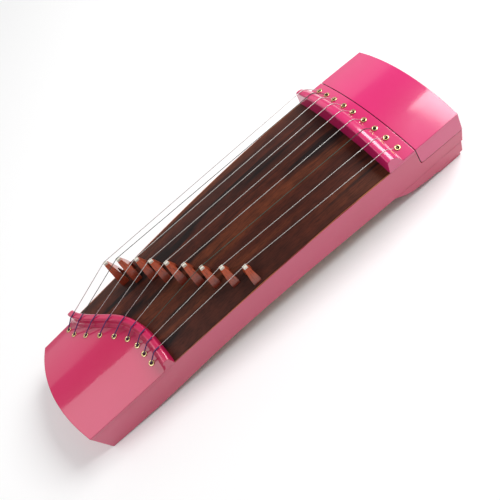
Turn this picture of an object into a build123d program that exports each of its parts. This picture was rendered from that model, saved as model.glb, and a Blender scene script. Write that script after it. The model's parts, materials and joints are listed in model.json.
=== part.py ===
from build123d import *
import os
from math import acos, atan2, cos, sin, sqrt, tan

# A small nine-string guzheng.  X runs from the tail to the head, -Y is the
# player's side, Z is up and the floor is Z = 0.  All sizes are in millimetres.

# ---- body outline ----
body_middle = 2.5            # x of the middle of the straight sides
body_half_run = 243.0        # half the length of the straight sides
tail_half_width = 66.7
head_half_width = 75.4
side_belly = 2.56            # how far the sides swell beyond straight lines
side_swell = 1.85            # how far that swelling leans towards the head
tail_edge_height = 39.0      # height of the long edges of the top
head_edge_height = 53.5
edge_belly = 12.14
edge_swell = 6.8
crown = 10.5                 # rise of the arched top over its edges
stations = 8                 # cross sections along a board
beyond = 95.0                # cutting shapes reach this far to each side
high_above = 110.0

# ---- boards ----
side_thickness = 5.0
skin_thickness = 4.0         # soundboard, tail plate and head plate
soundboard_inset = 1.2       # lip of the side board left beside the soundboard
soundboard_end = 163.0       # the head plate starts here, a step higher
floor_thickness = 3.0
seam_height = 19.7           # underside of the side boards over the base
brace_thickness = 5.0
brace_depth = 12.0
brace_x = {"tail_brace": -75.0, "middle_brace": 5.0, "head_brace": 85.0}
partition_x = 160.5          # wall between the sound chamber and the tuning box
sound_hole_length = 44.0
sound_hole_width = 15.0
sound_hole_x = (-40.0, 45.0, 125.0)

# ---- tail ----
tail_corner = -240.4
tail_bulge = 10.3
tail_lean = 0.08             # the tail end leans in towards the floor
tail_wall = 6.0

# ---- head, lid and base ----
nut_front = 156.5
nut_width = 17.4
nut_crown = 15.0
nut_edge_top = 77.9          # top of the head nut at its two ends
nut_round = 10.5             # radius of the nut's back
nut_flat = 4.5               # where the round begins
nut_slope = 1.08             # angle of the nut's back below level, radians
plate_end = 189.5
plate_edge_height = 63.4     # edge height of the head plate at the lid
lid_fall = 0.029             # that edge drops towards the head end
lid_front = 190.3
lid_wall = 3.5
lid_top = 4.0
lid_seat = 37.8              # top of the side boards under the lid's skirt
seat_fall = 0.042
lid_gap = 0.4
head_corner = 248.1
head_bulge = 3.4
lid_lean = 0.096
end_wall = 6.0
end_lean = -0.1
base_start = 153.0
base_wall = 9.0
base_step = 4.6              # underside of the base in front of the feet
base_corner = 243.9
foot_front = 208.0
foot_back = 241.0
foot_width = 12.0
block_front = 198.0
block_back = 239.0
block_half_width = 69.5
block_top = 40.0

# ---- strings, from the far side to the player's side ----
string_count = 9
bridge_x = [-120.0, -105.6, -90.1, -79.1, -67.2, -54.7, -43.0, -28.0, -10.5]
bridge_y = [59.0, 46.8, 30.5, 14.3, -2.0, -17.2, -32.4, -46.0, -60.0]
bridge_height = [36.5, 36.7, 32.0, 31.3, 30.6, 28.2, 26.0, 24.0, 20.4]
head_nut_y = [69.0, 51.5, 34.5, 16.5, 0.0, -18.0, -35.0, -50.5, -66.0]
head_eyelet_x = 179.9
head_eyelet_y = [65.4, 50.9, 36.8, 19.5, 4.1, -13.4, -30.0, -46.4, -62.5]
tail_eyelet_x = [-204.5, -200.2, -188.2, -174.1, -161.0, -150.3, -145.4, -144.5, -143.8]
tail_eyelet_y = [58.4, 45.1, 30.2, 15.1, -0.1, -14.8, -28.6, -41.0, -53.7]
thick_string = 0.4           # radius of the farthest string
string_taper = 0.018         # each nearer string is thinner by this
string_clearance = 0.15
wrap_radius = 0.62           # thread wound on the strings' tail ends
wrap_lead = 4.6              # the wrap starts this far ahead of the ridge's top
ridge_bend = 1.5
knot_radius = 2.2
eyelet_flange = 3.25
eyelet_flange_height = 0.7
eyelet_barrel = 2.2
eyelet_hole = 1.6
eyelet_depth = 4.7

# ---- bridges ----
bridge_foot = 9.2            # thickness along the string at the feet
bridge_tip = 4.4             # thickness along the string at the tip
bone_height = 3.6            # bone cap on top of each bridge
bone_half_width = 1.7
bone_round = 1.945           # radius of the bone's top, across which the string runs
foot_breadth = 4.0
bridge_lift = 0.3            # the sliding feet clear the soundboard by this

# ---- tuning pins ----
pin_radius = 2.45
pin_bore = 2.5
pin_bottom = 25.0
pin_shoulder = 50.0
pin_top = 56.0
pin_square = 3.4
coil_radius = 3.3
coil_bottom = 43.0
coil_top = 47.0
pin_row_start = 207.0
pin_row_step = 11.5
pin_rows = 3

# ---- S-shaped tail nut ----
s_line_points = [
    (-193.0, 72.0), (-182.0, 47.9), (-159.5, 21.7),
    (-139.2, -5.4), (-131.1, -35.4), (-131.8, -72.0),
]
ridge_middle_height = 9.8    # over the soundboard, on the centre line
ridge_edge_height = 12.9     # over the soundboard, at the sides
ridge_near = 0.6             # the wrap bends down this far to the head side of the S line
ridge_far = 3.1              # and again this far to its tail side


# ---- shape of the body ----
def along_body(x, tail, head, belly, swell):
    t = (x - body_middle) / body_half_run
    return (head + tail) / 2 + (head - tail) / 2 * t + (belly + swell * t) * (1 - t * t)


def half_width(x):
    return along_body(x, tail_half_width, head_half_width, side_belly, side_swell)


def board_edge(x):
    return along_body(x, tail_edge_height, head_edge_height, edge_belly, edge_swell)


def plate_edge(x):
    return plate_edge_height - lid_fall * (x - lid_front)


def seat_edge(x):
    return lid_seat - seat_fall * (x - lid_front)


def arch_radius(x):
    return (half_width(x) ** 2 + crown ** 2) / (2 * crown)


def arch_height(x, y, edge):
    """Height of the arched top: a circle over the two edges at x."""
    radius = arch_radius(x)
    return edge(x) + crown - radius + sqrt(radius ** 2 - y ** 2)


def nut_height(y):
    return nut_edge_top + nut_crown * (1 - (y / head_half_width) ** 2)


def ridge_height(y):
    rise = ridge_edge_height - ridge_middle_height
    return ridge_middle_height + rise * (y / tail_half_width) ** 2


def string_radius(i):
    return thick_string - string_taper * i


def spaced(start, end, count):
    return [start + (end - start) * i / (count - 1) for i in range(count)]


def cross_plane(x, y=0.0, z=0.0):
    """Plane across the body at x, with its own X along Y and its own Y up."""
    return Plane(origin=(x, y, z), x_dir=(0, 1, 0), z_dir=(1, 0, 0))


def side_plane(x=0.0, y=0.0, z=0.0):
    """Upright plane along the body, seen from the player's side."""
    return Plane(origin=(x, y, z), x_dir=(1, 0, 0), z_dir=(0, -1, 0))


def surface_plane(x, y, edge, lift=0.0):
    """Plane lying on the arched top, its normal square to the arch and to the slope along it."""
    lean = y / arch_radius(x)
    along = Vector(1, 0, arch_height(x + 1, y, edge) - arch_height(x, y, edge)).normalized()
    normal = along.cross(Vector(0, sqrt(1 - lean ** 2), -lean)).normalized()
    return Plane(origin=Vector(x, y, arch_height(x, y, edge)) + normal * lift, x_dir=along, z_dir=normal)


def save(sub_part, node):
    sub_part.part.label = node
    export_step(sub_part.part, f"parts/{node}.step")


# ---- shapes that cut the boards ----
def arched_sheet(start, end, edge, inset, drop, thickness):
    """Sheet with the arch of the top, its sides set in and its surface lowered."""
    with BuildPart() as sheet:
        for x in spaced(start, end, stations):
            w = half_width(x) - inset
            side_z = arch_height(x, w, edge) - drop
            top_z = arch_height(x, 0, edge) - drop
            with BuildSketch(cross_plane(x)):
                with BuildLine():
                    ThreePointArc((-w, side_z), (0, top_z), (w, side_z))
                    Line((w, side_z), (w, side_z - thickness))
                    ThreePointArc((w, side_z - thickness), (0, top_z - thickness), (-w, side_z - thickness))
                    Line((-w, side_z - thickness), (-w, side_z))
                make_face()
        loft()
    return sheet


def plan_shape(start, end, left, right):
    """Upright block between two long curves, each a function of x giving y."""
    xs = spaced(start, end, stations)
    with BuildPart() as block:
        with BuildSketch(Plane.XY.offset(-2)):
            with BuildLine():
                first = Spline(*[(x, left(x)) for x in xs])
                second = Spline(*[(x, right(x)) for x in reversed(xs)])
                Line(first @ 1, second @ 0)
                Line(second @ 1, first @ 0)
            make_face()
        extrude(amount=high_above)
    return block


def side_strip(side, outer, inner):
    """Strip along one side of the body, from outer to inner millimetres in from its face."""
    return plan_shape(
        -258,
        258,
        lambda x: side * (half_width(x) - outer),
        lambda x: side * (half_width(x) - inner),
    )


def between_sides(start, end, inset):
    return plan_shape(start, end, lambda x: half_width(x) - inset, lambda x: inset - half_width(x))


def bulging_block(levels, bulge, half_span, back):
    """Block with a bulging, leaning end; levels give the end's corner x at two heights."""
    outward = 1 if levels[0][1] > back else -1
    with BuildPart() as block:
        for z, corner in levels:
            with BuildSketch(Plane.XY.offset(z)):
                with BuildLine():
                    ThreePointArc((corner, -half_span), (corner + outward * bulge, 0), (corner, half_span))
                    Polyline((corner, half_span), (corner, beyond), (back, beyond))
                    Polyline((back, beyond), (back, -beyond), (corner, -beyond), (corner, -half_span))
                make_face()
        loft(ruled=True)
    return block


def leaning_levels(low, high, corner, corner_z, lean):
    return [(z, corner - lean * (z - corner_z)) for z in (low, high)]


def tail_block(inset):
    levels = leaning_levels(-3, high_above, tail_corner + inset, tail_edge_height, tail_lean)
    return bulging_block(levels, tail_bulge, tail_half_width, 262)


def lid_block(inset):
    levels = leaning_levels(28, 84, head_corner - inset, lid_seat, lid_lean)
    return bulging_block(levels, head_bulge, head_half_width, -272)


def end_block(inset):
    levels = leaning_levels(-3, high_above, head_corner - inset, lid_seat, end_lean)
    return bulging_block(levels, head_bulge, head_half_width, -272)


def side_prism(outline):
    """Prism right across the body from an outline drawn in a side view."""
    with BuildPart() as prism:
        with BuildSketch(side_plane()):
            with BuildLine():
                outline()
            make_face()
        extrude(amount=beyond, both=True)
    return prism


def underside(lift=0.0):
    """Arched underside, from the tail on the floor to the base at the head."""
    rise = [(-237.0, 0.0), (-190.0, 2.6), (-150.0, 6.2), (-98.0, 13.4), (-46.0, 18.4), (45.0, 21.4)]
    return Spline(*[(x, z + lift) for x, z in rise], (base_start, seam_height + lift))


def side_outline():
    """Side board: arched underside, seam with the base, seat for the lid, and top edge."""
    foot = underside()
    Polyline(foot @ 1, (256, seam_height), (256, seat_edge(256)), (196.2, seat_edge(196.2)))
    ThreePointArc((196.2, seat_edge(196.2)), (193.2, 38.8), (191.9, 42.0))
    Polyline((191.9, 42.0), (plate_end, plate_edge(plate_end)), (soundboard_end, plate_edge(soundboard_end)))
    top = Spline(*[(x, board_edge(x)) for x in spaced(soundboard_end, -262, stations)])
    Line((soundboard_end, plate_edge(soundboard_end)), top @ 0)
    Polyline(top @ 1, (-262, 0), foot @ 0)


def lid_outline():
    """Lid: leaning front edge, rounded lower corner and sloping lower edge."""
    corner = (192.7, 42.0)
    skirt = (196.8, seat_edge(196.8) + lid_gap)
    Polyline((256, high_above), (lid_front, high_above), (lid_front, plate_edge(lid_front)), corner)
    ThreePointArc(corner, (193.9, 39.4), skirt)
    Polyline(skirt, (256, seat_edge(256) + lid_gap), (256, high_above))


def base_outline():
    """Base: an ogee that leaves the body's arch and levels out towards the feet."""
    Polyline((base_start, seam_height), (256, seam_height), (256, base_step), (201, base_step))
    ogee = [(201, base_step), (187, 6.1), (174, 8.4), (163.5, 13.2), (base_start, seam_height)]
    Spline(*ogee, tangents=((-1, 0), (-1, 0.45)))


def floor_outline():
    """Bottom board: follows the arched underside and runs on level over the base."""
    low = underside()
    high = underside(floor_thickness)
    level = seam_height + floor_thickness
    Polyline(low @ 1, (256, seam_height), (256, level), high @ 1)
    Line(high @ 0, low @ 0)


def s_region(from_y, back_x):
    """Part of the plan on one side of the tail nut's S line."""
    with BuildPart() as region:
        with BuildSketch():
            with BuildLine():
                line = Spline(*s_line_points)
                Polyline(line @ 1, (line @ 1) - Vector(0, from_y), (back_x, -beyond - 2))
                corner = (line @ 0) + Vector(0, from_y)
                Polyline((back_x, -beyond - 2), (back_x, beyond + 2), corner, line @ 0)
            make_face()
        extrude(amount=high_above)
    return region


# ---- boards with the arch of the top ----
def make_soundboard():
    with BuildPart() as soundboard:
        add(arched_sheet(-215, soundboard_end, board_edge, soundboard_inset, 0, skin_thickness).part)
        add(s_region(25, soundboard_end + 1).part, mode=Mode.INTERSECT)
    return soundboard


def eyelet_places(xs, ys, edge, lift=0.0):
    return [surface_plane(x, y, edge, lift).location for x, y in zip(xs, ys)]


def make_tail_blank(raised):
    """Tail plate before its sides and end are trimmed, with its top raised."""
    with BuildPart() as blank:
        add(arched_sheet(-262, -118, board_edge, -side_thickness, -raised, skin_thickness + raised).part)
        add(s_region(25, -275).part, mode=Mode.INTERSECT)
    return blank


def make_head_blank(raised):
    thickness = skin_thickness + raised
    return arched_sheet(soundboard_end, plate_end, plate_edge, -side_thickness, -raised, thickness)


def make_tail_plate(outline):
    with BuildPart() as tail_plate:
        add(make_tail_blank(0).part)
        add(outline.part, mode=Mode.INTERSECT)
        add(tail_block(0).part, mode=Mode.INTERSECT)
        with Locations(*eyelet_places(tail_eyelet_x, tail_eyelet_y, board_edge)):
            Cylinder(eyelet_barrel, 4 * skin_thickness, mode=Mode.SUBTRACT)
    return tail_plate


def make_head_plate(outline):
    with BuildPart() as head_plate:
        add(make_head_blank(0).part)
        add(outline.part, mode=Mode.INTERSECT)
        with Locations(*eyelet_places([head_eyelet_x] * string_count, head_eyelet_y, plate_edge)):
            Cylinder(eyelet_barrel, 4 * skin_thickness, mode=Mode.SUBTRACT)
    return head_plate


# ---- nuts ----
def make_head_nut(outline):
    """Arched bar with an upright front and a round back that runs down to the head plate."""
    round_end = nut_flat + nut_round * sin(nut_slope)
    round_drop = nut_round * (1 - cos(nut_slope))
    back_drop = round_drop + (nut_width - round_end) * tan(nut_slope)
    root = 30.0
    with BuildPart() as head_nut:
        for y in spaced(-80, 80, stations - 1):
            top = nut_height(y)
            mid_x = nut_flat + nut_round * sin(nut_slope / 2)
            mid_z = top - nut_round * (1 - cos(nut_slope / 2))
            with BuildSketch(side_plane(nut_front, y)):
                with BuildLine():
                    Polyline((nut_width, top - root), (0, top - root), (1.2, top - 1.6))
                    ThreePointArc((1.2, top - 1.6), (1.9, top - 0.4), (3.2, top))
                    Line((3.2, top), (nut_flat, top))
                    ThreePointArc((nut_flat, top), (mid_x, mid_z), (round_end, top - round_drop))
                    Polyline((round_end, top - round_drop), (nut_width, top - back_drop), (nut_width, top - root))
                make_face()
        loft()
        add(arched_sheet(150, soundboard_end, board_edge, -15, 0, 40).part, mode=Mode.SUBTRACT)
        add(arched_sheet(soundboard_end, plate_end, plate_edge, -15, 0, 40).part, mode=Mode.SUBTRACT)
        add(outline.part, mode=Mode.INTERSECT)
    return head_nut


def s_frames(count):
    """Points along the S line, far side first, each with its tangent and the level normal headward."""
    with BuildLine() as s_line:
        Spline(*s_line_points)
    frames = []
    for t in spaced(0, 1, count):
        tangent = s_line.line % t
        frames.append((s_line.line @ t, tangent, Vector(-tangent.Y, tangent.X)))
    return frames


def make_tail_nut(outline):
    """Round-topped ridge with a hollowed tail side, standing along the S line."""
    with BuildPart() as tail_nut:
        for point, tangent, across in s_frames(stations + 1):
            seat = arch_height(point.X, point.Y, board_edge)
            top = ridge_height(point.Y)
            with BuildSketch(Plane(origin=(point.X, point.Y, seat), x_dir=across, z_dir=tangent)):
                with BuildLine():
                    Polyline((-6.4, -5), (6.4, -5), (6.4, 0), (5.6, top - 3.2))
                    ThreePointArc((5.6, top - 3.2), (4.9, top - 0.9), (3.2, top))
                    Line((3.2, top), (0.2, top))
                    ThreePointArc((0.2, top), (-1.6, top - 0.8), (-2.4, top - 2.6))
                    ThreePointArc((-2.4, top - 2.6), (-3.6, 3.6), (-6.4, 1.2))
                    Line((-6.4, 1.2), (-6.4, -5))
                make_face()
        loft()
        add(arched_sheet(-215, -110, board_edge, -15, 0, 40).part, mode=Mode.SUBTRACT)
        add(outline.part, mode=Mode.INTERSECT)
    return tail_nut


# ---- boards of the box ----
def make_side_board(side, fitted):
    with BuildPart() as board:
        add(side_strip(side, 0, side_thickness).part)
        add(side_prism(side_outline).part, mode=Mode.INTERSECT)
        add(tail_block(0).part, mode=Mode.INTERSECT)
        add(end_block(0).part, mode=Mode.INTERSECT)
        for piece in fitted:
            add(piece.part, mode=Mode.SUBTRACT)
    return board


def make_tail_end_board(tail_plate):
    with BuildPart() as board:
        add(between_sides(-258, -220, side_thickness).part)
        add(tail_block(0).part, mode=Mode.INTERSECT)
        add(tail_block(tail_wall).part, mode=Mode.SUBTRACT)
        add(arched_sheet(-262, -215, board_edge, -5, 0, high_above).part, mode=Mode.INTERSECT)
        add(tail_plate.part, mode=Mode.SUBTRACT)
        with BuildSketch(Plane.XY.offset(-5)):
            Rectangle(800, 300)
        extrude(amount=5, mode=Mode.SUBTRACT)
    return board


def make_head_end_board():
    with BuildPart() as board:
        add(between_sides(235, 258, side_thickness).part)
        add(end_block(0).part, mode=Mode.INTERSECT)
        add(end_block(end_wall).part, mode=Mode.SUBTRACT)
        add(side_prism(side_outline).part, mode=Mode.INTERSECT)
    return board


def make_bottom_board():
    with BuildPart() as board:
        add(between_sides(-258, 258, side_thickness).part)
        add(side_prism(floor_outline).part, mode=Mode.INTERSECT)
        add(tail_block(tail_wall).part, mode=Mode.INTERSECT)
        add(end_block(end_wall).part, mode=Mode.INTERSECT)
        with BuildSketch():
            with Locations(*[(x, 0) for x in sound_hole_x]):
                SlotOverall(sound_hole_length, sound_hole_width)
        extrude(amount=3 * seam_height, mode=Mode.SUBTRACT)
    return board


def make_brace(x, bottom, boards):
    """Board across the box, its top cut to the underside of the soundboard."""
    half = half_width(x) - side_thickness - 1
    top = arch_height(x, 0, board_edge) - skin_thickness / 2
    corner = arch_height(x, half, board_edge) - skin_thickness / 2
    with BuildPart() as brace:
        with BuildSketch(cross_plane(x - brace_thickness / 2)):
            with BuildLine():
                ThreePointArc((-half, corner), (0, top), (half, corner))
                Polyline((half, corner), (half, bottom), (-half, bottom), (-half, corner))
            make_face()
        extrude(amount=brace_thickness)
        for board in boards:
            add(board.part, mode=Mode.SUBTRACT)
    return brace


def make_pin_block(pin_places):
    level = seam_height + floor_thickness
    with BuildPart() as block:
        with BuildSketch(Plane.XY.offset(level)):
            with Locations(((block_front + block_back) / 2, 0)):
                Rectangle(block_back - block_front, 2 * block_half_width)
        extrude(amount=block_top - level)
        fillet(block.edges().filter_by(Axis.Z), radius=2)
        with Locations(*[(x, y, block_top) for x, y in pin_places]):
            Hole(pin_bore, depth=block_top - pin_bottom + 1)
    return block


def make_base_rail(side):
    with BuildPart() as rail:
        add(side_strip(side, 0, base_wall).part)
        add(side_prism(base_outline).part, mode=Mode.INTERSECT)
        with BuildSketch():
            with Locations((base_corner - 150, 0)):
                Rectangle(300, 2 * beyond)
        extrude(amount=seam_height, taper=-2, mode=Mode.INTERSECT)
    return rail


def make_base_end():
    inner = head_half_width - base_wall
    with BuildPart() as rail:
        with BuildSketch(Plane.XY.offset(base_step)):
            with Locations((base_corner - base_wall / 2 - 1, 0)):
                Rectangle(base_wall, 2 * inner - 0.4)
        extrude(amount=seam_height - base_step)
    return rail


def make_feet():
    """Two pads under the base, each with a sloped front."""
    middle = head_half_width - foot_width / 2
    with BuildPart() as feet:
        for y in (-middle, middle):
            with BuildSketch(side_plane(0, y)):
                with BuildLine():
                    Polyline((foot_front, base_step), (foot_back, base_step), (foot_back, 0))
                    Polyline((foot_back, 0), (foot_front + 4, 0), (foot_front, base_step))
                make_face()
            extrude(amount=foot_width / 2 - 0.4, both=True)
    return feet


# ---- lid ----
def make_lid():
    with BuildPart() as lid:
        add(arched_sheet(lid_front - 3, 258, plate_edge, 0, 0, 60).part)
        add(side_prism(lid_outline).part, mode=Mode.INTERSECT)
        add(lid_block(0).part, mode=Mode.INTERSECT)
        with BuildPart(mode=Mode.PRIVATE) as hollow:
            add(arched_sheet(lid_front - 6, 258, plate_edge, lid_wall, lid_top, 60).part)
            add(lid_block(lid_wall).part, mode=Mode.INTERSECT)
        add(hollow.part, mode=Mode.SUBTRACT)
    return lid


# ---- eyelets and strings ----
def make_eyelets(xs, ys, edge):
    """Brass eyelets: a rolled flange on the plate and a barrel through it."""
    rim = (eyelet_flange + eyelet_hole) / 2
    with BuildPart() as eyelets:
        for x, y in zip(xs, ys):
            place = surface_plane(x, y, edge, 0.05)
            section = Plane(origin=place.origin, x_dir=place.x_dir, z_dir=-place.y_dir)
            with BuildSketch(section):
                with BuildLine():
                    Polyline((eyelet_hole, 0.25), (eyelet_hole, -eyelet_depth), (eyelet_barrel - 0.05, -eyelet_depth))
                    Polyline((eyelet_barrel - 0.05, -eyelet_depth), (eyelet_barrel - 0.05, 0), (eyelet_flange, 0))
                    ThreePointArc((eyelet_flange, 0), (rim, eyelet_flange_height), (eyelet_hole, 0.25))
                make_face()
            revolve(axis=Axis(place.origin, place.z_dir))
    return eyelets


def tube(points, bends, radius):
    """Round string along straight runs joined by arcs."""
    with BuildPart() as string:
        with BuildLine() as route:
            FilletPolyline(*points, radius=bends)
        with BuildSketch(Plane(origin=route.line @ 0, z_dir=route.line % 0)):
            Circle(radius)
        sweep(path=route.line)
    return string


def ridge_crossing(start, end, offset, rise):
    """Point over the tail nut on the way from start to end, offset from its S line."""
    run = end - start
    places = []
    for base, _, across in s_frames(41):
        point = base + across * offset
        ahead = point - start
        places.append((run.X * ahead.Y - run.Y * ahead.X, point, base))
    for (miss, point, base), (next_miss, next_point, next_base) in zip(places, places[1:]):
        if miss * next_miss <= 0:
            part = miss / (miss - next_miss)
            over = point + (next_point - point) * part
            foot = base + (next_base - base) * part
            top = arch_height(foot.X, foot.Y, board_edge) + ridge_height(foot.Y)
            return Vector(over.X, over.Y, top + rise)


def pin_place(i):
    return pin_row_start + pin_row_step * (i % pin_rows), 0.96 * head_eyelet_y[i]


def tilt(centre, radius, point):
    """Angle from the top of a round at which a taut string towards the point leaves it."""
    reach = Vector(point.X - centre.X, point.Y - centre.Y).length
    drop = point.Z - centre.Z
    return atan2(reach, drop) - acos(radius / sqrt(reach ** 2 + drop ** 2))


def taut_corner(centre, radius, tailward, headward):
    """Corner of a string's route where it bends over a round between two points."""
    back = tilt(centre, radius, tailward)
    ahead = tilt(centre, radius, headward)
    far = radius / cos((ahead + back) / 2)
    middle = (ahead - back) / 2
    return centre + Vector(far * sin(middle), 0, far * cos(middle))


def bridge_seat(i):
    return Vector(bridge_x[i], bridge_y[i], arch_height(bridge_x[i], bridge_y[i], board_edge))


def string_route(i):
    """Corners and bends of one string from its tuning pin to the bead under the tail plate."""
    lift = string_radius(i) + string_clearance
    pin_x, pin_y = pin_place(i)
    start = Vector(pin_x, pin_y + coil_radius + string_radius(i) + 0.1, (coil_bottom + coil_top) / 2)
    head_in = surface_plane(head_eyelet_x, head_eyelet_y[i], plate_edge, -7).origin
    head_out = surface_plane(head_eyelet_x, head_eyelet_y[i], plate_edge, 1).origin
    tail_out = surface_plane(tail_eyelet_x[i], tail_eyelet_y[i], board_edge, 1).origin
    tail_in = surface_plane(tail_eyelet_x[i], tail_eyelet_y[i], board_edge, -eyelet_depth).origin
    tip = bridge_seat(i) + Vector(0, 0, bridge_height[i] - bone_round)
    nut_y = head_nut_y[i]
    leaving_y = nut_y + (head_eyelet_y[i] - nut_y) * 0.4
    crest = nut_height(min(abs(nut_y), abs(leaving_y)))
    nut_middle = Vector(nut_front + nut_flat, nut_y, crest - nut_round)
    ridge = ridge_crossing(tip, tail_out, ridge_near, wrap_radius + 0.4)
    behind = ridge_crossing(tip, tail_out, -ridge_far, wrap_radius - 1.1)
    tip_bend = bone_round + lift
    nut_bend = nut_round + lift
    over_tip = taut_corner(tip, tip_bend, ridge, nut_middle + Vector(0, 0, nut_bend))
    over_nut = taut_corner(nut_middle, nut_bend, over_tip, head_out)
    wrap_start = ridge + (over_tip - ridge).normalized() * wrap_lead
    steel = [start, head_in, head_out, over_nut, over_tip, wrap_start]
    wrap = [wrap_start, ridge, behind, tail_out, tail_in]
    return steel, [2.5, 1.6, nut_bend, tip_bend], wrap


def make_string(i):
    steel, bends, _ = string_route(i)
    return tube(steel, bends, string_radius(i))


def make_wraps():
    with BuildPart() as wraps:
        for i in range(string_count):
            _, _, wrap = string_route(i)
            add(tube(wrap, [ridge_bend, ridge_bend, 1.8], wrap_radius).part)
    return wraps


def make_end_beads():
    """Beads on the strings' tail ends, pulled up under the eyelets."""
    with BuildPart() as beads:
        for x, y in zip(tail_eyelet_x, tail_eyelet_y):
            with Locations(surface_plane(x, y, board_edge, -eyelet_depth - knot_radius).location):
                Sphere(knot_radius)
    return beads


# ---- bridges ----
def bridge_outline(near, far, height, deep):
    """A shape seen along the string: two splayed legs that reach below the soundboard's surface."""
    shoulder = height - bone_height
    neck = bone_half_width + 0.6
    arch = min(0.45 * height, (near + far) / 2 - foot_breadth)
    near_toe = near + deep * (near - neck) / shoulder
    far_toe = far + deep * (far - neck) / shoulder
    Polyline(
        (bone_half_width, shoulder),
        (neck, shoulder),
        (far_toe, -deep),
        (far_toe - foot_breadth, -deep),
        (far - foot_breadth, 0),
    )
    ThreePointArc((far - foot_breadth, 0), ((far - near) / 2, arch), (foot_breadth - near, 0))
    Polyline(
        (foot_breadth - near, 0),
        (foot_breadth - near_toe, -deep),
        (-near_toe, -deep),
        (-neck, shoulder),
        (bone_half_width, shoulder),
    )


def make_bridge(i, raised_board):
    """Bridge with two feet on the arch of the soundboard, the far one kept on the board."""
    seat = bridge_seat(i)
    height = bridge_height[i]
    near = 2.5 + 0.31 * height
    far = min(near, half_width(seat.X) - soundboard_inset - 0.5 - seat.Y)
    deep = 7.0
    with BuildPart() as bridge:
        with BuildSketch(cross_plane(seat.X, seat.Y, seat.Z)):
            with BuildLine():
                bridge_outline(near, far, height, deep)
            make_face()
        extrude(amount=bridge_foot, both=True)
        with BuildSketch(side_plane(seat.X, seat.Y, seat.Z)):
            with BuildLine():
                Polyline(
                    (-bridge_foot / 2, -deep),
                    (bridge_foot / 2, -deep),
                    (bridge_foot / 2, 2),
                    (bridge_tip / 2, height),
                    (-bridge_tip / 2, height),
                    (-bridge_foot / 2, 2),
                    (-bridge_foot / 2, -deep),
                )
            make_face()
        extrude(amount=beyond / 3, both=True, mode=Mode.INTERSECT)
        add(raised_board.part, mode=Mode.SUBTRACT)
    return bridge


def make_bone_tip(i):
    """Bone cap on the bridge, rounded over the top where the string crosses."""
    seat = bridge_seat(i)
    shoulder = bridge_height[i] - bone_height
    with BuildPart() as tip:
        with BuildSketch(side_plane(seat.X, seat.Y, seat.Z)):
            with BuildLine():
                foot = bridge_tip / 2
                edge = bridge_height[i] - 1
                Polyline((-foot + 0.5, edge), (-foot, shoulder), (foot, shoulder), (foot - 0.5, edge))
                ThreePointArc((foot - 0.5, edge), (0, bridge_height[i]), (0.5 - foot, edge))
            make_face()
        extrude(amount=bone_half_width, both=True)
    return tip


# ---- tuning pins ----
def make_pin(i):
    """Tuning pin with a square head, and the string wound on its neck."""
    x, y = pin_place(i)
    with BuildPart() as pin:
        with BuildSketch(side_plane(x, y)):
            with BuildLine():
                Polyline(
                    (0, pin_bottom),
                    (pin_radius - 0.5, pin_bottom),
                    (pin_radius, pin_bottom + 0.5),
                    (pin_radius, coil_bottom),
                    (coil_radius, coil_bottom),
                    (coil_radius, coil_top),
                    (pin_radius, coil_top),
                    (pin_radius, pin_shoulder),
                    (0, pin_shoulder),
                    (0, pin_bottom),
                )
            make_face()
        revolve(axis=Axis((x, y, 0), (0, 0, 1)))
        with BuildSketch(Plane.XY.offset(pin_shoulder)):
            with Locations((x, y)):
                Rectangle(pin_square, pin_square)
        extrude(amount=pin_top - pin_shoulder)
        chamfer(pin.faces().sort_by(Axis.Z)[-1].edges(), length=0.4)
    return pin


# ---- assembly ----
def main():
    os.makedirs("parts", exist_ok=True)
    outline = between_sides(-258, 258, 0)
    soundboard = make_soundboard()
    tail_plate = make_tail_plate(outline)
    head_plate = make_head_plate(outline)
    skins = [soundboard, tail_plate, head_plate]
    head_nut = make_head_nut(outline)
    tail_nut = make_tail_nut(outline)
    rebates = [soundboard, make_tail_blank(side_thickness), make_head_blank(side_thickness)]
    near_side = make_side_board(-1, rebates)
    far_side = make_side_board(1, rebates)
    bottom_board = make_bottom_board()
    head_end_board = make_head_end_board()
    raised_board = arched_sheet(-160, 30, board_edge, -10, -bridge_lift, 30)
    pin_places = [pin_place(i) for i in range(string_count)]

    save(soundboard, "soundboard")
    save(tail_plate, "tail_plate")
    save(head_plate, "head_plate")
    save(head_nut, "head_nut")
    save(tail_nut, "tail_nut")
    save(near_side, "near_side_board")
    save(far_side, "far_side_board")
    save(bottom_board, "bottom_board")
    save(make_tail_end_board(tail_plate), "tail_end_board")
    save(head_end_board, "head_end_board")
    for node, x in brace_x.items():
        save(make_brace(x, board_edge(x) - brace_depth, skins), node)
    partition_bottom = seam_height + floor_thickness / 2
    save(make_brace(partition_x, partition_bottom, skins + [bottom_board, head_nut]), "box_partition")
    save(make_pin_block(pin_places), "pin_block")
    save(make_base_rail(-1), "near_base_rail")
    save(make_base_rail(1), "far_base_rail")
    save(make_base_end(), "base_end_rail")
    save(make_feet(), "feet")
    save(make_lid(), "lid")
    save(make_eyelets([head_eyelet_x] * string_count, head_eyelet_y, plate_edge), "head_eyelets")
    save(make_eyelets(tail_eyelet_x, tail_eyelet_y, board_edge), "tail_eyelets")
    save(make_wraps(), "string_wraps")
    save(make_end_beads(), "string_end_beads")
    for i in range(string_count):
        save(make_string(i), f"string_{i + 1}")
        save(make_bridge(i, raised_board), f"bridge_{i + 1}")
        save(make_bone_tip(i), f"bone_tip_{i + 1}")
        save(make_pin(i), f"tuning_pin_{i + 1}")


main()
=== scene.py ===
# Looks of a small nine-string guzheng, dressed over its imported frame
import json
import math
import bpy
from mathutils import Matrix, Vector
from mathutils.bvhtree import BVHTree

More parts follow.
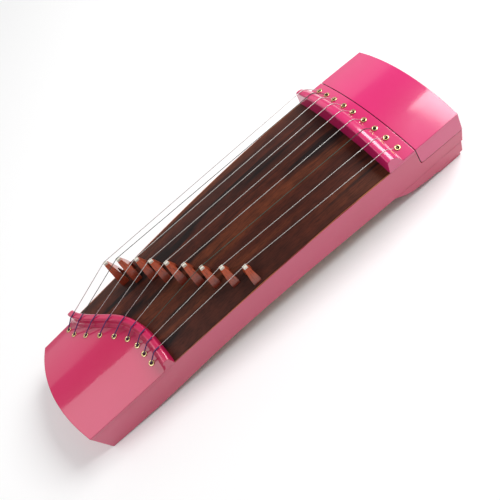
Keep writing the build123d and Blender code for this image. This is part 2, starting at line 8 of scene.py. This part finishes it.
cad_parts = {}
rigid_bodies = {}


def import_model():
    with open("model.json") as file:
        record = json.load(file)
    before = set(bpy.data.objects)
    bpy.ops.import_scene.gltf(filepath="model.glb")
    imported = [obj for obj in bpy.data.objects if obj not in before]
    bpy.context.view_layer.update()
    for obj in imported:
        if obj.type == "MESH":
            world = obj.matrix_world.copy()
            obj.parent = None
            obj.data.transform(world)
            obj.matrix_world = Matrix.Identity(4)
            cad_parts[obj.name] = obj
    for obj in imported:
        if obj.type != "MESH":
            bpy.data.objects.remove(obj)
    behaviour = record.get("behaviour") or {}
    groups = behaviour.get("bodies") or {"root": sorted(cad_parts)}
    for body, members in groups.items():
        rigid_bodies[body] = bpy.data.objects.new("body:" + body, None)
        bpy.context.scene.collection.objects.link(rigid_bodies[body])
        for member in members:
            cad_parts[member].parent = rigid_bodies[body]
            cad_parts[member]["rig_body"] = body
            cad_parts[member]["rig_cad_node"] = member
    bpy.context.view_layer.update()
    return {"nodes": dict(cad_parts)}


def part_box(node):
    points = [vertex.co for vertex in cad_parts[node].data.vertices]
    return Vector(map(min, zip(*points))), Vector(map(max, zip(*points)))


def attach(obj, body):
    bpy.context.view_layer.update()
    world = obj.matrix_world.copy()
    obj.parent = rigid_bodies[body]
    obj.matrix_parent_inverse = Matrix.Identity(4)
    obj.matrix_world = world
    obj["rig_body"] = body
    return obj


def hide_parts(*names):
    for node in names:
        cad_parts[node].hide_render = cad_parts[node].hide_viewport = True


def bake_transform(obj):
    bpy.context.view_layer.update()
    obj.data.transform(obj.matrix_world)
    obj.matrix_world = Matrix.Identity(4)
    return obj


for stray in list(bpy.data.objects):
    bpy.data.objects.remove(stray)
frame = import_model()
nodes = frame["nodes"]
stringCount = 9
bpy.context.scene.view_settings.view_transform = "Standard"
print("frame loaded:", len(nodes), "nodes")


def deselectAll():
    if bpy.context.object and bpy.context.object.mode != "OBJECT":
        bpy.ops.object.mode_set(mode="OBJECT")
    bpy.ops.object.select_all(action="DESELECT")


def pick(piece):
    deselectAll()
    piece.select_set(True)
    bpy.context.view_layer.objects.active = piece


def settle(piece):
    # place, turn and scale go into the mesh
    pick(piece)
    bpy.ops.object.transform_apply(location=True, rotation=True, scale=True)


def useModifier(piece, kind, **settings):
    pick(piece)
    modifier = piece.modifiers.new(kind.lower(), kind)
    for key, value in settings.items():
        setattr(modifier, key, value)
    bpy.ops.object.modifier_apply(modifier=modifier.name)


def smooth(piece, angle=40):
    pick(piece)
    bpy.ops.object.shade_smooth_by_angle(angle=math.radians(angle))


def softEdges(piece, width, segments=2, angle=35):
    limit = math.radians(angle)
    useModifier(piece, "BEVEL", width=width, segments=segments, limit_method="ANGLE", angle_limit=limit)
    smooth(piece)


def cutAway(piece, cutter):
    useModifier(piece, "BOOLEAN", object=cutter, operation="DIFFERENCE", solver="EXACT")
    bpy.data.objects.remove(cutter)


def joinInto(pieces, name):
    deselectAll()
    for piece in pieces:
        piece.select_set(True)
    bpy.context.view_layer.objects.active = pieces[0]
    bpy.ops.object.join()
    joined = bpy.context.object
    joined.name = name
    return joined


def ownCopy(piece, name, matrix=None):
    # same shape, own mesh
    twin = piece.copy()
    twin.data = piece.data.copy()
    twin.name = name
    bpy.context.scene.collection.objects.link(twin)
    if matrix:
        twin.data.transform(matrix)
    return twin


def middleOf(low, high):
    return (low + high) / 2


def paint(piece, material):
    piece.data.materials.clear()
    piece.data.materials.append(material)


def surfaceTree(node):
    return BVHTree.FromObject(nodes[node], bpy.context.evaluated_depsgraph_get())


soundboardSkin = surfaceTree("soundboard")
tailSkin = surfaceTree("tail_plate")
headSkin = surfaceTree("head_plate")


def dropOnto(skin, x, y):
    # point and upward normal of a skin below (x, y), or just inside its edge
    point = None
    while point is None:
        point, normal, _, _ = skin.ray_cast(Vector((x, y, 0.2)), Vector((0, 0, -1)))
        y *= 0.99
    return point, (normal if normal.z > 0 else -normal)


cameraSettings = {
    "place": (-0.01257, -0.41434, 0.56509),
    "right": (0.7564, -0.5346, -0.3770),
    "up": (0.6535, 0.5936, 0.4697),
    "back": (-0.0273, -0.6016, 0.7983),
    "lens": 44.89,
}


def makeCamera(settings):
    bpy.ops.object.camera_add()
    camera = bpy.context.object
    camera.name = "studioCamera"
    turned = Matrix((settings["right"], settings["up"], settings["back"])).transposed().to_4x4()
    camera.matrix_world = Matrix.Translation(settings["place"]) @ turned
    camera.data.lens = settings["lens"]
    camera.data.sensor_width = 36
    camera.data.clip_start = 0.01
    bpy.context.scene.camera = camera


makeCamera(cameraSettings)


studioSettings = {
    "floorColor": (0.97, 0.97, 0.97, 1),
    "worldColor": (1.0, 1.0, 1.0, 1),
    "worldStrength": 0.30,
    # name, place, aim, width, height, watts
    "softboxes": [
        ("headBox", (1.15, 0.05, 1.1), (0.10, 0.0, 0.0), 0.95, 0.80, 22.0),
        ("tailBox", (-0.85, -0.09, 1.15), (-0.10, -0.05, 0.0), 1.3, 0.90, 7.0),
        ("backWallBox", (-0.1, 1.45, 0.80), (0.0, 0.0, 0.05), 2.6, 0.80, 4.0),
    ],
}


def makeSoftbox(name, place, aim, width, height, watts):
    bpy.ops.object.light_add(type="AREA", location=place)
    lamp = bpy.context.object
    lamp.name = name
    lamp.data.shape = "RECTANGLE"
    lamp.data.size = width
    lamp.data.size_y = height
    lamp.data.energy = watts
    lamp.rotation_euler = (Vector(aim) - Vector(place)).to_track_quat("-Z", "Y").to_euler()


def makeStudio(settings):
    world = bpy.data.worlds.new("studioWorld")
    bpy.context.scene.world = world
    world.use_nodes = True
    sky = world.node_tree.nodes["Background"]
    sky.inputs["Color"].default_value = settings["worldColor"]
    sky.inputs["Strength"].default_value = settings["worldStrength"]
    for softbox in settings["softboxes"]:
        makeSoftbox(*softbox)
    deselectAll()
    bpy.ops.mesh.primitive_plane_add(size=12, location=(0, 0, -0.0002))
    floor = bpy.context.object
    floor.name = "paleFloor"
    settle(floor)
    paper = bpy.data.materials.new("palePaper")
    paper.use_nodes = True
    shader = paper.node_tree.nodes["Principled BSDF"]
    shader.inputs["Base Color"].default_value = settings["floorColor"]
    shader.inputs["Roughness"].default_value = 0.9
    paint(floor, paper)


makeStudio(studioSettings)
print("studio and camera ready")


class Finish:
    # a node material, built up one named step at a time
    def __init__(self, name, roughness, **sockets):
        self.material = bpy.data.materials.new(name)
        self.material.use_nodes = True
        self.tree = self.material.node_tree
        self.shader = self.tree.nodes["Principled BSDF"]
        self.shader.inputs["Roughness"].default_value = roughness
        for key, value in sockets.items():
            self.shader.inputs[key.replace("_", " ")].default_value = value

    def node(self, kind, **values):
        made = self.tree.nodes.new(kind)
        for key, value in values.items():
            if key in made.inputs:
                made.inputs[key].default_value = value
            else:
                setattr(made, key, value)
        return made

    def link(self, source, target):
        self.tree.links.new(source, target)

    def objectSpace(self, scale=(1, 1, 1), turn=(0, 0, 0)):
        place = self.node("ShaderNodeTexCoord")
        mapping = self.node("ShaderNodeMapping", Scale=scale, Rotation=turn)
        self.link(place.outputs["Object"], mapping.inputs["Vector"])
        return mapping.outputs["Vector"]

    def noise(self, scale, vector=None, detail=3.0, distortion=0.0):
        texture = self.node("ShaderNodeTexNoise", Scale=scale, Detail=detail, Distortion=distortion)
        self.link(vector or self.objectSpace(), texture.inputs["Vector"])
        return texture.outputs["Fac"]

    def ramp(self, value, stops):
        ramp = self.node("ShaderNodeValToRGB")
        elements = ramp.color_ramp.elements
        elements[0].position, elements[0].color = stops[0][0], (*stops[0][1], 1)
        elements[1].position, elements[1].color = stops[-1][0], (*stops[-1][1], 1)
        for position, color in stops[1:-1]:
            middle = elements.new(position)
            middle.color = (*color, 1)
        self.link(value, ramp.inputs["Fac"])
        return ramp.outputs["Color"]

    def mix(self, factor, first, second, blend="MIX"):
        mixer = self.node("ShaderNodeMix", data_type="RGBA", blend_type=blend)
        for value, socket in ((factor, 0), (first, 6), (second, 7)):
            if isinstance(value, (int, float, tuple)):
                mixer.inputs[socket].default_value = value
            else:
                self.link(value, mixer.inputs[socket])
        return mixer.outputs[2]

    def math(self, operation, *values):
        step = self.node("ShaderNodeMath", operation=operation)
        for slot, value in enumerate(values):
            if isinstance(value, (int, float)):
                step.inputs[slot].default_value = value
            else:
                self.link(value, step.inputs[slot])
        return step.outputs["Value"]

    def facing(self, axis):
        # how far the bare face points along one axis
        geometry = self.node("ShaderNodeNewGeometry")
        split = self.node("ShaderNodeSeparateXYZ")
        self.link(geometry.outputs["True Normal"], split.inputs["Vector"])
        return split.outputs[axis]

    def bump(self, height, strength, distance, roundEdges=0.0):
        bump = self.node("ShaderNodeBump", Strength=strength, Distance=distance)
        self.link(height, bump.inputs["Height"])
        if roundEdges:
            edge = self.node("ShaderNodeBevel", samples=6, Radius=roundEdges)
            self.link(edge.outputs["Normal"], bump.inputs["Normal"])
        self.link(bump.outputs["Normal"], self.shader.inputs["Normal"])
        if self.shader.inputs["Coat Weight"].default_value:
            self.link(bump.outputs["Normal"], self.shader.inputs["Coat Normal"])

    def color(self, source):
        self.link(source, self.shader.inputs["Base Color"])

    def roughness(self, value, low, high):
        spread = self.node("ShaderNodeMapRange")
        spread.inputs["To Min"].default_value = low
        spread.inputs["To Max"].default_value = high
        self.link(value, spread.inputs["Value"])
        self.link(spread.outputs["Result"], self.shader.inputs["Roughness"])


pinkSettings = {
    "deep": (0.54, 0.003, 0.074),
    "bright": (0.60, 0.005, 0.098),
    "edgeRound": 0.0011,
}
# painted light: the same pink lacquer, painted lighter for the lid, head plate and head nut, where the
# light falls brighter on the head end
litHeadPinkSettings = {
    "deep": (0.62, 0.006, 0.118),
    "bright": (0.70, 0.010, 0.158),
    "edgeRound": 0.0011,
}
lipSettings = {"groove": (0.16, 0.006, 0.014), "wood": (0.50, 0.17, 0.06)}


def makePinkLacquer(name, settings, raisedLip=None, gapShadeFacing=0):
    # glossy sprayed lacquer, faintly mottled, with an orange-peel ripple
    coat = {"Coat_Weight": 0.9, "Coat_Roughness": 0.08, "Coat_IOR": 1.6}
    lacquer = Finish(name, 0.32, Specular_IOR_Level=0.4, **coat)
    cloud = lacquer.noise(9.0, detail=4.0)
    color = lacquer.ramp(cloud, [(0.3, settings["deep"]), (0.7, settings["bright"])])
    if raisedLip:
        # bare wood line and dark red groove on the upward lip beside the soundboard
        upward = lacquer.math("GREATER_THAN", lacquer.facing("Z"), 0.72)
        streak = lacquer.noise(1.0, lacquer.objectSpace((30, 900, 300)))
        lip = lacquer.ramp(streak, [(0.38, raisedLip["groove"]), (0.62, raisedLip["wood"])])
        color = lacquer.mix(upward, color, lip)
    if gapShadeFacing:
        # painted shade: faces turned into the lid's joint are painted near-black so the joint reads as
        # a shadowed gap; this also darkens the inner face of the lid's end wall
        towardsGapShade = lacquer.math("MULTIPLY", lacquer.facing("X"), gapShadeFacing)
        gapShadeMask = lacquer.math("GREATER_THAN", towardsGapShade, 0.8)
        color = lacquer.mix(gapShadeMask, color, (0.030, 0.003, 0.006, 1))
    lacquer.color(color)
    dust = lacquer.noise(260.0, detail=2.0)
    lacquer.roughness(dust, 0.26, 0.38)
    haze = lacquer.noise(20.0, detail=4.0)
    sheen = lacquer.ramp(haze, [(0.35, (0.05, 0.05, 0.05)), (0.7, (0.15, 0.15, 0.15))])
    lacquer.link(sheen, lacquer.shader.inputs["Coat Roughness"])
    ripple = lacquer.noise(420.0, detail=1.0)
    lacquer.bump(ripple, 0.05, 0.0002, settings["edgeRound"])
    return lacquer.material


rosewoodSettings = {
    "black": (0.010, 0.006, 0.006),
    "dark": (0.034, 0.011, 0.008),
    "red": (0.068, 0.016, 0.009),
    "brown": (0.115, 0.030, 0.013),
}


def makeRosewood(settings):
    wood = Finish("rosewood", 0.42, Coat_Weight=0.0, Specular_IOR_Level=0.16)
    along = wood.objectSpace((2.2, 34, 34), (0, 0, math.radians(-1.2)))
    zones = wood.noise(1.0, along, detail=3.0, distortion=0.5)
    broad = wood.ramp(zones, [
        (0.30, settings["dark"]), (0.46, settings["red"]),
        (0.58, settings["brown"]), (0.74, settings["dark"]),
    ])
    finer = wood.objectSpace((3.2, 62, 62), (0, 0, math.radians(-1.2)))
    veins = wood.noise(1.0, finer, detail=4.0, distortion=0.7)
    veinMask = wood.ramp(veins, [(0.36, (0.95, 0.95, 0.95)), (0.48, (0, 0, 0))])
    color = wood.mix(veinMask, broad, (*settings["black"], 1))
    pores = wood.noise(1.0, wood.objectSpace((90, 1500, 1500)), detail=2.0)
    poreMask = wood.ramp(pores, [(0.34, (0.55, 0.55, 0.55)), (0.52, (1, 1, 1))])
    color = wood.mix(1.0, color, poreMask, "MULTIPLY")
    mottle = wood.noise(75.0, detail=4.0)
    mottled = wood.ramp(mottle, [(0.3, (0.78, 0.76, 0.78)), (0.7, (1.18, 1.12, 1.08))])
    wood.color(wood.mix(1.0, color, mottled, "MULTIPLY"))
    wood.roughness(pores, 0.50, 0.36)
    wood.bump(pores, 0.18, 0.0002, 0.0004)
    return wood.material


bridgeWoodSettings = {
    "upper": (0.50, 0.082, 0.026),
    # lower: painted shade at the feet, where they meet the soundboard
    "lower": (0.20, 0.020, 0.008),
    "vein": (0.11, 0.012, 0.005),
}


def makeBridgeWood(settings):
    # orange heartwood under a clear coat, with painted shade darkening it towards the feet
    wood = Finish("bridgeWood", 0.3, Coat_Weight=0.6, Coat_Roughness=0.1)
    rise = wood.node("ShaderNodeAttribute", attribute_name="rise")
    wobble = wood.math("ADD", rise.outputs["Fac"], wood.math("MULTIPLY", wood.noise(120.0), 0.5))
    shade = wood.ramp(wobble, [(0.30, settings["lower"]), (1.15, settings["upper"])])
    grain = wood.noise(1.0, wood.objectSpace((700, 260, 90)), detail=4.0, distortion=0.6)
    grainMask = wood.ramp(grain, [(0.36, (1, 1, 1)), (0.5, (0, 0, 0))])
    wood.color(wood.mix(wood.math("MULTIPLY", grainMask, 0.55), shade, (*settings["vein"], 1)))
    wood.roughness(grain, 0.36, 0.24)
    wood.bump(grain, 0.12, 0.0002)
    return wood.material


def makePlainWood(name, dark, pale):
    wood = Finish(name, 0.62)
    grain = wood.noise(1.0, wood.objectSpace((8, 160, 160)), detail=5.0, distortion=0.8)
    wood.color(wood.ramp(grain, [(0.3, dark), (0.7, pale)]))
    wood.roughness(grain, 0.7, 0.55)
    wood.bump(grain, 0.25, 0.0003)
    return wood.material


def makeBone():
    bone = Finish("bone", 0.28, Subsurface_Weight=0.12, Subsurface_Scale=0.001)
    bone.shader.inputs["Subsurface Radius"].default_value = (1.0, 0.7, 0.5)
    fibre = bone.noise(1.0, bone.objectSpace((900, 900, 260)), detail=3.0)
    bone.color(bone.ramp(fibre, [(0.3, (0.74, 0.68, 0.56)), (0.7, (0.93, 0.89, 0.80))]))
    bone.roughness(fibre, 0.36, 0.22)
    bone.bump(fibre, 0.1, 0.0001)
    return bone.material


def makeBrass():
    brass = Finish("paleBrass", 0.24, Metallic=1.0)
    tarnish = brass.noise(420.0, detail=3.0)
    brass.color(brass.ramp(tarnish, [(0.3, (0.62, 0.44, 0.18)), (0.65, (0.92, 0.76, 0.45))]))
    brass.roughness(tarnish, 0.34, 0.16)
    brass.bump(brass.noise(1600.0), 0.06, 0.0001)
    return brass.material


def makeWoundString(name, groove, crown, roughness, metallic, pitch):
    # close winding round the string shows as fine bands across it
    string = Finish(name, roughness, Metallic=metallic)
    band = string.node("ShaderNodeTexWave", wave_type="BANDS", Scale=pitch, Distortion=0.6)
    band.bands_direction = "X"
    string.link(string.objectSpace(turn=(0, 0, math.radians(9))), band.inputs["Vector"])
    fleck = string.noise(900.0)
    winding = string.math("ADD", band.outputs["Fac"], string.math("MULTIPLY", fleck, 0.4))
    string.color(string.ramp(winding, [(0.25, groove), (1.0, crown)]))
    string.bump(band.outputs["Fac"], 0.35, 0.0001)
    return string.material


def makePinSteel():
    steel = Finish("pinSteel", 0.25, Metallic=1.0)
    scuff = steel.noise(1.0, steel.objectSpace((300, 300, 1800)), detail=3.0)
    steel.color(steel.ramp(scuff, [(0.3, (0.42, 0.42, 0.44)), (0.7, (0.72, 0.72, 0.74))]))
    steel.roughness(scuff, 0.4, 0.2)
    steel.bump(scuff, 0.08, 0.0001)
    return steel.material


pinkLacquer = makePinkLacquer("pinkLacquer", pinkSettings)
pinkSides = makePinkLacquer("pinkSides", pinkSettings, lipSettings)
# the lid and head plate carry painted shade on their faces inside the joint between them
lidLacquer = makePinkLacquer("lidLacquer", litHeadPinkSettings, gapShadeFacing=-1)
headLacquer = makePinkLacquer("headLacquer", litHeadPinkSettings, gapShadeFacing=1)
nutLacquer = makePinkLacquer("nutLacquer", litHeadPinkSettings)
rosewood = makeRosewood(rosewoodSettings)
bridgeWood = makeBridgeWood(bridgeWoodSettings)
paleWood = makePlainWood("paleWood", (0.36, 0.23, 0.12), (0.58, 0.41, 0.24))
blockWood = makePlainWood("blockWood", (0.22, 0.11, 0.05), (0.40, 0.23, 0.11))
bone = makeBone()
paleBrass = makeBrass()

# groove colour, crown colour, roughness, metallic, bands to a metre
stringFinishes = {
    "silverString": ((0.36, 0.35, 0.33), (0.95, 0.94, 0.91), 0.35, 0.7, 320.0),
    "greenString": ((0.006, 0.022, 0.016), (0.05, 0.12, 0.09), 0.4, 0.0, 320.0),
    "purpleThread": ((0.030, 0.008, 0.055), (0.15, 0.05, 0.22), 0.7, 0.0, 300.0),
}
silverString = makeWoundString("silverString", *stringFinishes["silverString"])
greenString = makeWoundString("greenString", *stringFinishes["greenString"])
purpleThread = makeWoundString("purpleThread", *stringFinishes["purpleThread"])
pinSteel = makePinSteel()
print("finishes mixed")


boardFinishes = {
    "near_side_board": pinkSides, "far_side_board": pinkSides, "tail_plate": pinkLacquer,
    "tail_end_board": pinkLacquer, "tail_nut": pinkLacquer, "head_nut": nutLacquer,
    "head_plate": headLacquer, "head_end_board": pinkLacquer, "near_base_rail": pinkLacquer,
    "far_base_rail": pinkLacquer, "base_end_rail": pinkLacquer, "feet": pinkLacquer,
    "lid": lidLacquer, "soundboard": rosewood, "bottom_board": paleWood, "pin_block": blockWood,
    "tail_brace": paleWood, "middle_brace": paleWood, "head_brace": paleWood,
    "box_partition": paleWood, "string_wraps": purpleThread, "string_end_beads": paleBrass,
}
for node, material in boardFinishes.items():
    paint(nodes[node], material)
print("body boards finished")


bridgeSettings = {
    "footReach": 0.0049,    # half thickness along the string near the feet
    "toe": 0.10,            # how far the foot's lowest edge draws in again
    "tipReach": 0.0025,
    "widening": 0.75,       # under 1 the legs broaden early below the tip
    "topHalf": 0.0023,      # half breadth just under the bone tip
    "belly": 0.0007,        # outward swell of the legs
    "lift": 0.0003,
    "footBreadth": 0.0040,
    "archShare": 0.45,
    "legShare": 0.16,       # least height of wood left over the arch
    "boneHeight": 0.0036,
}


def makeBridge(index, settings):
    low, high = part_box(f"bridge_{index}")
    tipLow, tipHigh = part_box(f"bone_tip_{index}")
    middle = middleOf(tipLow, tipHigh)
    nearSpan = middle.y - low.y
    farSpan = high.y - middle.y
    deselectAll()
    bpy.ops.mesh.primitive_cube_add(size=2, location=(0, 0, 0))
    body = bpy.context.object
    body.name = f"bridgeBody_{index}"
    bpy.ops.object.mode_set(mode="EDIT")
    bpy.ops.mesh.select_all(action="SELECT")
    bpy.ops.mesh.subdivide(number_cuts=7)
    bpy.ops.object.mode_set(mode="OBJECT")
    topHalf = settings["topHalf"]
    for vertex in body.data.vertices:
        share = (vertex.co.z + 1) / 2
        belly = settings["belly"] * math.sin(math.pi * min(1.0, share * 1.15))
        span = farSpan if vertex.co.y > 0 else nearSpan
        spread = topHalf + (span - topHalf) * (1 - share) + belly * abs(vertex.co.y)
        toe = 1 - settings["toe"] * max(0.0, 1 - share / 0.14) ** 2
        widening = (settings["footReach"] - settings["tipReach"]) * (1 - share) ** settings["widening"]
        reach = (settings["tipReach"] + widening) * toe
        x = middle.x + vertex.co.x * reach
        y = middle.y + vertex.co.y * spread
        board, _ = dropOnto(soundboardSkin, x, y)
        bottom = board.z + settings["lift"]
        vertex.co = (x, y, bottom + share * (high.z - bottom))
    board, _ = dropOnto(soundboardSkin, middle.x, middle.y)
    tall = high.z + settings["boneHeight"] - board.z
    sideways = (0, math.pi / 2, 0)
    bpy.ops.mesh.primitive_cylinder_add(vertices=40, radius=1, depth=0.03, rotation=sideways)
    hollow = bpy.context.object
    centre = (farSpan - nearSpan) / 2
    half = (farSpan + nearSpan) / 2 - settings["footBreadth"]
    archShare = settings["archShare"]
    for step in range(1, 40):
        along = -1 + step / 20
        y = centre + along * half
        roof = 1 - abs(y) / (farSpan if y > 0 else nearSpan) - settings["legShare"]
        archShare = max(0.1, min(archShare, roof / math.sqrt(1 - along * along)))
    hollow.location = (middle.x, middle.y + centre, board.z)
    hollow.scale = (archShare * tall, half, 1)
    settle(hollow)
    cutAway(body, hollow)
    softEdges(body, 0.0006, 3)
    rise = body.data.attributes.new("rise", "FLOAT", "POINT")
    tallness = high.z - low.z
    rise.data.foreach_set("value", [(v.co.z - low.z) / tallness for v in body.data.vertices])
    paint(body, bridgeWood)
    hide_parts(f"bridge_{index}")
    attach(body, f"bridge_{index}")


boneSettings = {
    "length": 0.0044,
    "breadth": 0.0036,
    "height": 0.0036,
    "topRound": 0.0011,
    "notchRadius": 0.00045,
}


def makeBoneTip(settings):
    # one cap, rounded across its top and notched for the string
    deselectAll()
    bpy.ops.mesh.primitive_cube_add(size=1, location=(0, 0, settings["height"] / 2))
    cap = bpy.context.object
    cap.scale = (settings["length"], settings["breadth"], settings["height"])
    settle(cap)
    bpy.ops.object.mode_set(mode="EDIT")
    bpy.ops.mesh.select_all(action="DESELECT")
    bpy.ops.object.mode_set(mode="OBJECT")
    for edge in cap.data.edges:
        ends = [cap.data.vertices[v].co for v in edge.vertices]
        edge.select = all(e.z > 0.003 for e in ends)
    bpy.ops.object.mode_set(mode="EDIT")
    bpy.ops.mesh.select_mode(type="EDGE")
    bpy.ops.mesh.bevel(offset=settings["topRound"], segments=5)
    bpy.ops.object.mode_set(mode="OBJECT")
    bpy.ops.mesh.primitive_cylinder_add(
        vertices=24, radius=settings["notchRadius"], depth=0.02,
        location=(0, 0, settings["height"]), rotation=(0, math.pi / 2, 0),
    )
    notch = bpy.context.object
    settle(notch)
    cutAway(cap, notch)
    softEdges(cap, 0.00012, 2, 30)
    return cap


boneMaster = makeBoneTip(boneSettings)
for index in range(1, stringCount + 1):
    makeBridge(index, bridgeSettings)
    low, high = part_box(f"bone_tip_{index}")
    middle = middleOf(low, high)
    tip = ownCopy(boneMaster, f"boneTip_{index}", Matrix.Translation((middle.x, middle.y, low.z)))
    paint(tip, bone)
    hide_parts(f"bone_tip_{index}")
    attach(tip, f"bridge_{index}")
bpy.data.objects.remove(boneMaster)
print("bridges carved")


eyeletSettings = {
    "flangeRadius": 0.00245,
    "flangeThickness": 0.0008,
    "barrelRadius": 0.00186,
    "barrelDepth": 0.0045,
    "headX": 0.1799,
    "headY": [0.0654, 0.0509, 0.0368, 0.0195, 0.0041, -0.0134, -0.0300, -0.0464, -0.0625],
    "tailX": [-0.2045, -0.2002, -0.1882, -0.1741, -0.1610, -0.1503, -0.1454, -0.1445, -0.1438],
    "tailY": [0.0584, 0.0451, 0.0302, 0.0151, -0.0001, -0.0148, -0.0286, -0.0410, -0.0537],
}


def makeEyelet(settings):
    deselectAll()
    bpy.ops.mesh.primitive_torus_add(
        major_radius=settings["flangeRadius"], minor_radius=settings["flangeThickness"],
        major_segments=40, minor_segments=14,
    )
    flange = bpy.context.object
    flange.scale.z = 0.62
    flange.location.z = 0.00042
    settle(flange)
    bpy.ops.mesh.primitive_cylinder_add(
        vertices=40, radius=settings["barrelRadius"], depth=settings["barrelDepth"],
        end_fill_type="NOTHING", location=(0, 0, -settings["barrelDepth"] / 2 + 0.0003),
    )
    barrel = bpy.context.object
    useModifier(barrel, "SOLIDIFY", thickness=0.00026, offset=0)
    settle(barrel)
    eyelet = joinInto([flange, barrel], "eyeletMaster")
    smooth(eyelet)
    return eyelet


def setEyelets(master, skin, places, name, node):
    ring = []
    for x, y in places:
        point, normal = dropOnto(skin, x + 0.0035, y)
        other, _ = dropOnto(skin, x - 0.0035, y)
        lean = Vector((0, 0, 1)).rotation_difference(normal).to_matrix().to_4x4()
        middle = Vector((x, y, (point.z + other.z) / 2))
        ring.append(ownCopy(master, f"{name}Part", Matrix.Translation(middle) @ lean))
    eyelets = joinInto(ring, name)
    paint(eyelets, paleBrass)
    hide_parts(node)
    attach(eyelets, "frame")


eyeletMaster = makeEyelet(eyeletSettings)
headPlaces = [(eyeletSettings["headX"], y) for y in eyeletSettings["headY"]]
tailPlaces = list(zip(eyeletSettings["tailX"], eyeletSettings["tailY"]))
setEyelets(eyeletMaster, headSkin, headPlaces, "headEyelets", "head_eyelets")
setEyelets(eyeletMaster, tailSkin, tailPlaces, "tailEyelets", "tail_eyelets")
bpy.data.objects.remove(eyeletMaster)
print("eyelets set")


stringSettings = {
    "nutX": 0.161,
    "green": (2, 7),
    "tipStretch": 0.004,    # this much either side of the bone tip
}


def cutString(node, x, keepHead, name):
    # copy of the string, cut at the bridge
    half = ownCopy(nodes[node], name)
    half.parent = None
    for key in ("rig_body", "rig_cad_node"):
        if key in half:
            del half[key]
    pick(half)
    bpy.ops.object.mode_set(mode="EDIT")
    bpy.ops.mesh.select_all(action="SELECT")
    bpy.ops.mesh.remove_doubles(threshold=0.000001)
    bpy.ops.mesh.bisect(
        plane_co=(x, 0, 0), plane_no=(1, 0, 0), use_fill=False,
        clear_inner=keepHead, clear_outer=not keepHead,
    )
    bpy.ops.object.mode_set(mode="OBJECT")
    smooth(half, 60)
    return half


def stringUp(index, settings):
    node = f"string_{index}"
    low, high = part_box(f"bone_tip_{index}")
    tipX = middleOf(low, high).x
    material = greenString if index in settings["green"] else silverString
    headHalf = cutString(node, tipX, True, f"stringHead_{index}")
    tailHalf = cutString(node, tipX, False, f"stringTail_{index}")
    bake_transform(headHalf)
    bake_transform(tailHalf)
    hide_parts(node)
    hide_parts(node)
    for half in (headHalf, tailHalf):
        paint(half, material)


for index in range(1, stringCount + 1):
    stringUp(index, stringSettings)
print("strings stretched")


pinSettings = {
    "shankRadius": 0.00244,
    "turns": 5,
    "wireRadius": 0.00042,
    "coilBottom": 0.0432,
    "headWidth": 0.0034,
    "headHeight": 0.006,
}


def makePin(settings, low, high):
    # shank, wound turns of string and a squared head, about the upright line through the origin
    top = high.z - settings["headHeight"]
    deselectAll()
    bpy.ops.mesh.primitive_cylinder_add(
        vertices=32, radius=settings["shankRadius"], depth=top - low.z,
        location=(0, 0, (top + low.z) / 2),
    )
    shank = bpy.context.object
    settle(shank)
    softEdges(shank, 0.0003, 2)
    bpy.ops.mesh.primitive_cube_add(size=1, location=(0, 0, high.z - settings["headHeight"] / 2))
    head = bpy.context.object
    head.scale = (settings["headWidth"], settings["headWidth"], settings["headHeight"])
    settle(head)
    for vertex in head.data.vertices:
        if vertex.co.z > high.z - 0.001:
            vertex.co.x *= 0.86
            vertex.co.y *= 0.86
    softEdges(head, 0.0003, 2)
    parts = [shank, head]
    for turn in range(settings["turns"]):
        z = settings["coilBottom"] + turn * settings["wireRadius"] * 2.05
        bpy.ops.mesh.primitive_torus_add(
            major_radius=settings["shankRadius"] + settings["wireRadius"],
            minor_radius=settings["wireRadius"], major_segments=36, minor_segments=10,
            location=(0, 0, z), rotation=(0.05, 0, 0),
        )
        wire = bpy.context.object
        settle(wire)
        parts.append(wire)
    pin = joinInto(parts, "pinMaster")
    smooth(pin)
    return pin


pinMaster = makePin(pinSettings, *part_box("tuning_pin_1"))
for index in range(1, stringCount + 1):
    middle = middleOf(*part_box(f"tuning_pin_{index}"))
    pin = ownCopy(pinMaster, f"tuningPin_{index}", Matrix.Translation((middle.x, middle.y, 0)))
    paint(pin, pinSteel)
    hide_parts(f"tuning_pin_{index}")
    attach(pin, f"tuning_pin_{index}")
bpy.data.objects.remove(pinMaster)
print("tuning pins set")
